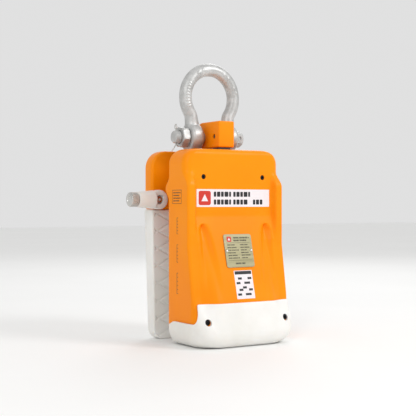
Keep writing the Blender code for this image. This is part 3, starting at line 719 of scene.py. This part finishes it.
def build_lug():
    (x0, x1), (y0, y1), (z0, z1) = low_high("lifting_lug")
    radius = (z1 - z0) / 2
    outline = [(y0, z1), (y0, z0)] + arc((y1 - radius, z0 + radius), radius, -90, 90, 32)
    lug = bevel(prism("lug_rounded", outline, "X", x0, x1), 2.2, 5, 50)
    pin = (0, *[sum(ends) / 2 for ends in low_high("shackle_nut")[1:]])
    dowel = (0, *[sum(ends) / 2 for ends in low_high("lug_dowel")[1:]])
    socket = block("socket", (-9.3, 9.3), (-13.3, 3.3), (250, 297.3))
    cut(lug, socket, rod("pin hole", "X", -30, 30, pin, 9.4, 64), rod("dowel hole", "X", -30, 30, dowel, 3.5))
    dress(lug, "orange_paint", "carriage", "lifting_lug")


# Shackle


PIN = (0.0, 27.0, 283.5)  # the middle of the shackle's bolt
PIN_RADIUS, WIRE_RADIUS, BOW_RADIUS, BOW_CENTRE = 9.0, 9.2, 39.7, 57.0
HEAD_RADIUS, NUT_RADIUS = 11.8, 15.6  # across the corners, halved
THREAD_PITCH, THREAD_DEPTH = 2.0, 0.9
BOW_SPREAD = 38.0  # degrees below the horizontal where the bow's circle meets its legs
EYE_INNER, EYE_OUTER, EYE_RADIUS, EYE_EDGE = 18.8, 38.6, 20.0, 5.0
FLARE, FLARE_PART = 1.8, 0.12  # how much thicker a leg is at its eye, and over what part of the bow
MARK_PITCH, BAR_HEIGHT, STUD_HEIGHT, SEAM_HEIGHT = 4.2, 0.5, 0.55, 0.25
COTTER_X = -54.6


def build_bow():
    """The forged bow: tube and eyes fused, softened, and given raised forging marks."""
    circle = arc((0.0, PIN[2] + BOW_CENTRE), BOW_RADIUS, 180 + BOW_SPREAD, -BOW_SPREAD, 110)
    middle = (EYE_INNER + EYE_OUTER) / 2
    foot = PIN[2] + 4
    leg = ((0.0, 0), (0.05, 6), (0.3, 12), (1.0, 19))  # how far each leg has spread, and its height
    left = [(-middle - spread_by, foot + up) for spread_by, up in leg]
    path = [(x, PIN[1], z) for x, z in left + circle + [(-x, z) for x, z in reversed(left)]]

    def radius_of(part):
        return WIRE_RADIUS + FLARE * smooth((FLARE_PART - min(part, 1 - part)) / 0.1)

    bow = sweep("bow_forged", path, radius_of)
    for side in (-1, 1):
        low, high = sorted((side * EYE_INNER, side * EYE_OUTER))
        flat = EYE_RADIUS - EYE_EDGE
        turns = [radians(a) for a in (25, 50, 75, 90)]
        quarter = [(EYE_EDGE * (1 - cos(turn)), flat + EYE_EDGE * sin(turn)) for turn in turns]
        profile = [(low, flat)] + [(low + inset, radius) for inset, radius in quarter]
        profile += [(high - inset, radius) for inset, radius in reversed(quarter)] + [(high, flat)]
        join(bow, turned("eye", "X", (0, PIN[1], PIN[2]), profile, 72))
    remesh = bow.modifiers.new("fuse", "REMESH")
    remesh.mode = "VOXEL"
    remesh.voxel_size = 0.85 * MM
    soften = bow.modifiers.new("soften", "SMOOTH")
    soften.factor = 0.6
    soften.iterations = 7
    baked(bow, 180)
    centre = Vector((0.0, PIN[1], PIN[2] + BOW_CENTRE))
    for vert in bow.data.vertices:
        place = vert.co / MM - centre
        angle = atan2(place.z, place.x) / pi * 180
        along = radians(angle) * BOW_RADIUS
        front = place.y < 0 and place.z > -26
        out = hypot(place.x, place.z) - BOW_RADIUS
        lift = 0.0
        if front and abs(out) < 5.5:
            if 146 < angle or angle < -160:  # a row of short bars on the left limb
                turn = angle if angle > 0 else angle + 360
                step = radians(turn) * BOW_RADIUS / MARK_PITCH
                ends = smooth((turn - 150) / 4) * smooth((208 - turn) / 4) * smooth((4.6 - abs(out)) / 1.2)
                lift = BAR_HEIGHT * smooth(2.2 - 5.5 * abs(step - floor(step + 0.5))) * ends
            for spot in (112, 124, 46, 58, 22, 12):  # raised studs over the crown and down the right limb
                away = hypot(along - radians(spot) * BOW_RADIUS, out + (1.5 if spot % 4 else -1.5))
                lift = max(lift, STUD_HEIGHT * smooth(1.7 - 0.62 * away))
        seam = SEAM_HEIGHT * smooth(1.5 - 0.9 * abs(place.y)) if place.z > -34 else 0.0
        vert.co += vert.normal * (lift + seam - SEAM_HEIGHT) * MM
    cut(bow, rod("pin hole", "X", -70, 70, (0, PIN[1], PIN[2]), PIN_RADIUS + GAP, 72))
    bow.data.shade_smooth()
    bow.data.set_sharp_from_angle(angle=radians(50))
    dress(bow, "galvanised_steel", "shackle", "shackle_bow")


def hexagon(across_corners, spin):
    """A shaping function that turns a lathe profile into a hexagon bar with turned-down corners."""

    def shaping(along, radius, angle):
        turn = (angle - spin) % (pi / 3) - pi / 6
        return min(radius, across_corners / 2 * cos(pi / 6) / cos(turn))

    return shaping


def build_bolt_and_nut():
    (bolt_end, head_end), _, _ = low_high("shackle_bolt")
    (nut_end, nut_start), _, _ = low_high("shackle_nut")
    start = EYE_OUTER + GAP

    def threaded(along, radius, angle):
        if along > nut_end - 2:
            return radius
        phase = along / THREAD_PITCH - angle / (2 * pi)
        depth = THREAD_DEPTH * clamp01((along - bolt_end) / 1.5 + 0.4)
        return radius - depth * abs(2 * (phase - floor(phase)) - 1)

    profile = [(bolt_end, PIN_RADIUS - 1.2)]
    profile += [(x, PIN_RADIUS) for x in spaced(bolt_end + 1.0, nut_end + 1, 40)]
    profile += [(start, PIN_RADIUS), (start + 2, PIN_RADIUS)]
    bolt = turned("shackle_bolt_threaded", "X", (0, PIN[1], PIN[2]), profile, 96, threaded)
    profile = [(start, 10.3), (start + 0.8, 10.8), (start + 1.2, HEAD_RADIUS), (head_end - 2.6, HEAD_RADIUS)]
    profile += [(head_end - 1.2, 11.0), (head_end - 0.4, 9.8), (head_end, 8.4)]
    join(bolt, turned("head", "X", (0, PIN[1], PIN[2]), profile, 144, hexagon(2 * HEAD_RADIUS, radians(30))))
    cotter = rod("cotter hole", "Z", PIN[2] - 20, PIN[2] + 20, (COTTER_X, PIN[1], 0), 2.0)
    flat = PIN[1] - HEAD_RADIUS * cos(pi / 6)
    dimple = rod("dimple", "Y", flat - 8, flat + 1.6, ((start + head_end) / 2, 0, PIN[2] + 1), 2.4, 32)
    cut(bolt, cotter, dimple)
    dress(bolt, "galvanised_steel", "shackle", "shackle_bolt")

    profile = [(nut_end, 13.2), (nut_end + 0.7, 14.2), (nut_end + 2.2, NUT_RADIUS)]
    profile += [(nut_start - 2.2, NUT_RADIUS), (nut_start - 0.7, 14.2), (nut_start, 13.2)]
    nut = turned("shackle_nut_chamfered", "X", (0, PIN[1], PIN[2]), profile, 144, hexagon(31.0, radians(12)))
    profile = [(nut_end - 2, 11.2), (nut_end + 1, 9.2), (nut_start - 1, 9.2), (nut_start + 2, 11.2)]
    cut(nut, turned("bore", "X", (0, PIN[1], PIN[2]), profile, 72))
    dress(nut, "galvanised_steel", "shackle", "shackle_nut")


def build_cotter():
    """A split pin: two half-round legs, bent apart below the bolt, that meet in a loop above it."""
    x, y = COTTER_X, PIN[1]
    top = PIN[2] + PIN_RADIUS + 5.2
    loop = [(x - 0.5 + 0.5 * cos(radians(a / 2)), y + 3.4 * sin(radians(a)), top - 3.4 * cos(radians(a)))
            for a in spaced(14, 346, 30)]
    first = [(-6.8, 0.8, -20), (-4.5, 0.8, -17), (-1.5, 0.8, -12.5), (0, 0.8, -9.5), (0, 0.8, 0), (0, 0.8, 9)]
    last = [(0, -0.8, 9), (0, -0.8, 0), (0, -0.8, -9.5), (0.3, -1.6, -12.0), (0.6, -4.5, -13.4)]
    first, last = ([(x + dx, y + dy, PIN[2] + dz) for dx, dy, dz in leg] for leg in (first, last))
    cotter = sweep("split_pin", first + loop + last, lambda part: 0.75, 16, Vector((1, 0.1, 0)))
    baked(cotter, 60)
    dress(cotter, "bright_steel", "shackle", "shackle_cotter")


# Side handles


HANDLE_AXIS_Y = 48.0
KNOB_RADIUS, KNURL_COUNT, KNURL_DEPTH = 10.2, 22, 0.5


def build_handles():
    for side, sign in (("left", -1), ("right", 1)):
        (x0, x1), _, (z0, z1) = low_high(f"handle_sleeve_{side}")
        centre_z = (z0 + z1) / 2
        eye_x = screw_centre(f"handle_bolt_{side}")[0]
        axis = (0, HANDLE_AXIS_Y, centre_z)
        end = max(abs(x0), abs(x1))
        profile = [(42.0, 10.5), (42.4, 12.4), (43.6, 13.5), (52.6, 13.5), (53.7, 12.6)]
        sleeve = turned(f"handle_grip_{side}", "Y", (eye_x, 0, centre_z), profile, 72)
        grip = [(78.6, 10.5), (79.0, 12.1), (80.6, 13.0), (end - 3.0, 11.1), (end - 0.8, 10.6), (end, 9.6)]
        join(sleeve, turned("grip", "X", axis, [(sign * a, r) for a, r in grip], 72))
        cut(
            sleeve,
            rod("bore", "X", sign * 90, sign * 120, axis, 4.3),
            rod("bolt hole", "Y", 30, 60, (eye_x, 0, centre_z), 3.3),
            rod("counterbore", "Y", 30, 49, (eye_x, 0, centre_z), 6.5, 64),
        )
        bevel(sleeve, 0.5, 2, 50)
        dress(sleeve, "white_rubber", "frame", f"handle_sleeve_{side}")

        (x0, x1), _, _ = low_high(f"handle_knob_{side}")
        outer = max(abs(x0), abs(x1))
        start = end + GAP

        def knurl(along, radius, angle):
            if radius < KNOB_RADIUS - 0.4:
                return radius
            turn = angle * KNURL_COUNT / (2 * pi)
            lean = abs(along) / 2.6
            ridges = abs(sin(pi * (turn + lean))) * abs(sin(pi * (turn - lean)))
            return radius - KNURL_DEPTH + KNURL_DEPTH * smooth(ridges * 1.6)

        body = [(91.0, 4.0), (start, 4.0), (start, 8.8), (start + 0.9, KNOB_RADIUS)]
        body += [(along, KNOB_RADIUS) for along in spaced(start + 1.2, outer - 1.8, 26)]
        body += [(outer - 0.6, 9.5), (outer, 8.0), (outer, 5.0), (outer - 1.0, 4.4), (outer - 1.0, 0.4)]
        knob = turned(f"handle_knob_knurled_{side}", "X", axis, [(sign * a, r) for a, r in body], 176, knurl)
        baked(knob, 50)
        dress(knob, "bright_steel", "frame", f"handle_knob_{side}")


# Labels and plates


def decal(name, outlines, thickness, matrix, slot):
    """Thin printed shapes in one piece. The outlines lie in their own plane, which matrix puts in place."""
    shape = bmesh.new()
    for outline in outlines:
        patch = prism("patch", outline, "Y", -thickness, 0.0)
        shape.from_mesh(patch.data)
        discard(patch)
    shape.transform(matrix)
    dress(baked(from_bmesh(name, shape)), slot, "frame")


def rectangle(cx, cz, width, height):
    return [(cx - width / 2, cz - height / 2), (cx + width / 2, cz - height / 2),
            (cx + width / 2, cz + height / 2), (cx - width / 2, cz + height / 2)]


def rounded(cx, cz, width, height, radius, steps=6):
    points = []
    for sx, sz, start in ((1, 1, 0), (-1, 1, 90), (-1, -1, 180), (1, -1, 270)):
        centre = (cx + sx * (width / 2 - radius), cz + sz * (height / 2 - radius))
        points += arc(centre, radius, start, start + 90, steps)
    return points


def bars(start, end, z, height):
    """A row of plain blocks, from start to end, that stands in for a line of print."""
    blocks, x = [], start
    for count in range(60):
        width = height * (0.55, 0.75, 0.62, 0.9, 0.45)[count % 5]
        if x + width > end:
            break
        blocks.append(rounded(x + width / 2, z, width, height, height * 0.12, 3))
        x += width + height * (0.55 if count % 7 == 4 else 0.2)
    return blocks


def plain_mark(name, cx, cz, size, matrix, level):
    """A rounded square with a triangle in it."""
    decal(f"{name}_square", [rounded(cx, cz, 2 * size, 2 * size, size * 0.3)], level, matrix, "label_red")
    triangle = [(cx + size * x, cz + size * z) for x, z in ((-0.55, -0.45), (0.55, -0.45), (0.0, 0.55))]
    decal(f"{name}_triangle", [triangle], level + 0.08, matrix, "label_white")


def build_front_label():
    place = Matrix.Translation(Vector((0, FACE_Y - 0.03, 198.4)) * MM)
    decal("front_label", [rounded(0, 0, 118.6, 23.8, 0.8)], 0.12, place, "label_white")
    plain_mark("label_mark", -46.5, 0, 9.6, place, 0.2)
    rows = bars(-32, 30, 5.2, 6.8) + bars(-32, 26, -5.4, 6.8) + bars(32, 55, -5.4, 6.8)
    decal("label_rows", rows, 0.2, place, "label_black")


def on_lean(x, z, lift):
    """A plane on the leaning front panel, lifted off it by a little."""
    place = Matrix.Translation(Vector((x, front_y(z), z)) * MM) @ Matrix.Rotation(-LEAN_ANGLE, 4, "X")
    return place @ Matrix.Translation((0, -lift * MM, 0))


def build_plate_print():
    place = on_lean(0, 127.0, 1.3)
    plain_mark("plate_mark", -14.0, 16.0, 3.6, place, 0.1)
    rows = bars(-7, 19, 17.8, 2.2) + bars(-7, 14, 14.0, 2.2) + [rectangle(0, 11.0, 38.0, 0.35)]
    for row in range(6):
        z = 8.0 - 3.6 * row
        rows += bars(-18.0, -5.0 + 2.5 * (row % 3), z, 1.4) + bars(3.0, 14.0 + 2.0 * ((row + 1) % 3), z, 1.4)
    rows += [rectangle(0, -13.4, 38.0, 0.35)] + bars(-8.0, 8.0, -17.6, 2.2)
    decal("plate_rows", rows, 0.1, place, "plate_ink")


def build_code_sticker():
    place = on_lean(2.0, 82.0, 0.03)
    decal("code_sticker", [rounded(0, 0, 29.0, 38.5, 0.6)], 0.12, place, "label_white")
    cells, cell, count = [rectangle(0, 16.2, 26.5, 4.4)], 3.1, 8
    for i in range(count):
        for j in range(count):
            if (i * i + 2 * j * j + i * j) % 5 < 2:
                centre = ((i - count / 2 + 0.5) * cell, -2.4 + (j - count / 2 + 0.5) * cell)
                cells.append(rectangle(*centre, cell * 0.96, cell * 0.96))
    decal("code_cells", cells, 0.2, place, "label_black")


def build_side_marks():
    """Faint marks on the housing's left side: a framed panel of lines and three small scales."""
    place = Matrix.Translation(Vector((-LOWER_HALF_WIDTH - 0.03, -14.0, 0)) * MM)
    place = place @ Matrix.Rotation(-pi / 2, 4, "Z")
    lines = [rectangle(0, 200 + side * 9.0, 24.0, 0.6) for side in (-1, 1)]
    lines += [rectangle(side * 11.7, 200, 0.6, 18.6) for side in (-1, 1)]
    for row in range(4):
        lines += bars(-9.5, 9.5 - 3 * (row % 2), 205.4 - 3.6 * row, 1.5)
    for low, high in ((150, 172), (112, 136), (70, 98)):
        lines.append(rectangle(0, (low + high) / 2, 0.8, high - low))
        lines += [rectangle(1.6, z, 3.2, 0.6) for z in spaced(low + 0.3, high - 0.3, 5)]
    decal("side_marks", lines, 0.1, place, "side_ink")


build_housing()
build_bumper()
build_screws()
build_pads()
build_jaw_plate()
build_lug()
build_bow()
build_bolt_and_nut()
build_cotter()
build_handles()
build_front_label()
build_plate_print()
build_code_sticker()
build_side_marks()


# CAD nodes that stay: a fine bevel and a material


def finish_cad_nodes():
    slots = {part["node"]: part["material_slot"] for part in frame["record"]["subparts"]}
    for name, node in frame["nodes"].items():
        if node.hide_render:
            continue
        node.data.materials.clear()
        node.data.materials.append(MATERIALS[slots[name]])
        edge = node.modifiers.new("edge", "BEVEL")
        edge.width = 0.3 * MM
        edge.segments = 2
        edge.limit_method = "ANGLE"
        edge.angle_limit = radians(50)


finish_cad_nodes()


# Stage, light and camera


def build_stage():
    mesh = bpy.data.meshes.new("floor")
    shape = bmesh.new()
    bmesh.ops.create_grid(shape, x_segments=1, y_segments=1, size=6.0)
    shape.to_mesh(mesh)
    shape.free()
    floor = new_piece("floor", mesh)
    paper = Shader("floor_paper", (0.93, 0.93, 0.92), 0.8)
    paper.colour(paper.noise(3.0, 3.0), (0.925, 0.925, 0.915), (0.94, 0.94, 0.93))
    paper.roughness(paper.noise(20.0, 3.0), 0.75, 0.85)
    paper.bump(paper.noise(400.0, 3.0), 0.0001, 0.2)
    mesh.materials.append(paper.material)


def area_light(name, place, target, size, power):
    """An elliptical lamp. size holds its width and its height."""
    data = bpy.data.lights.new(name, "AREA")
    data.shape = "ELLIPSE"
    data.size, data.size_y = size
    data.energy = power
    light = bpy.data.objects.new(name, data)
    light.location = place
    light.rotation_euler = (Vector(target) - Vector(place)).to_track_quat("-Z", "Y").to_euler()
    bpy.context.scene.collection.objects.link(light)


def build_light():
    bpy.context.scene.view_settings.view_transform = "Standard"
    world = bpy.data.worlds.new("studio")
    world.use_nodes = True
    world.node_tree.nodes["Background"].inputs["Color"].default_value = (1.0, 1.0, 1.0, 1.0)
    world.node_tree.nodes["Background"].inputs["Strength"].default_value = 0.75
    bpy.context.scene.world = world
    middle = (0, 0, 0.2)
    area_light("key", (0.9, -1.4, 1.3), middle, (0.7, 0.7), 12)
    area_light("strip", (-1.2, -1.2, 1.1), middle, (0.25, 1.4), 5)
    area_light("rim", (1.0, 1.2, 1.3), middle, (0.8, 0.8), 5)


def build_camera():
    data = bpy.data.cameras.new("camera")
    data.sensor_width = 36.0
    data.lens = CAMERA_FOCAL_PIXELS / 416 * 36.0
    data.shift_y = HORIZON_SHIFT
    camera = bpy.data.objects.new("camera", data)
    ahead = Vector((sin(CAMERA_ANGLE), cos(CAMERA_ANGLE), 0))
    right = Vector((cos(CAMERA_ANGLE), -sin(CAMERA_ANGLE), 0))
    level = Vector((0, PIN[1], PIN[2] - PIN_ABOVE_CAMERA))
    camera.location = (level - ahead * CAMERA_DISTANCE - right * PIN_RIGHT_OF_AXIS) * MM
    camera.rotation_euler = (pi / 2, 0, -CAMERA_ANGLE)
    bpy.context.scene.collection.objects.link(camera)
    bpy.context.scene.camera = camera


build_stage()
build_light()
build_camera()
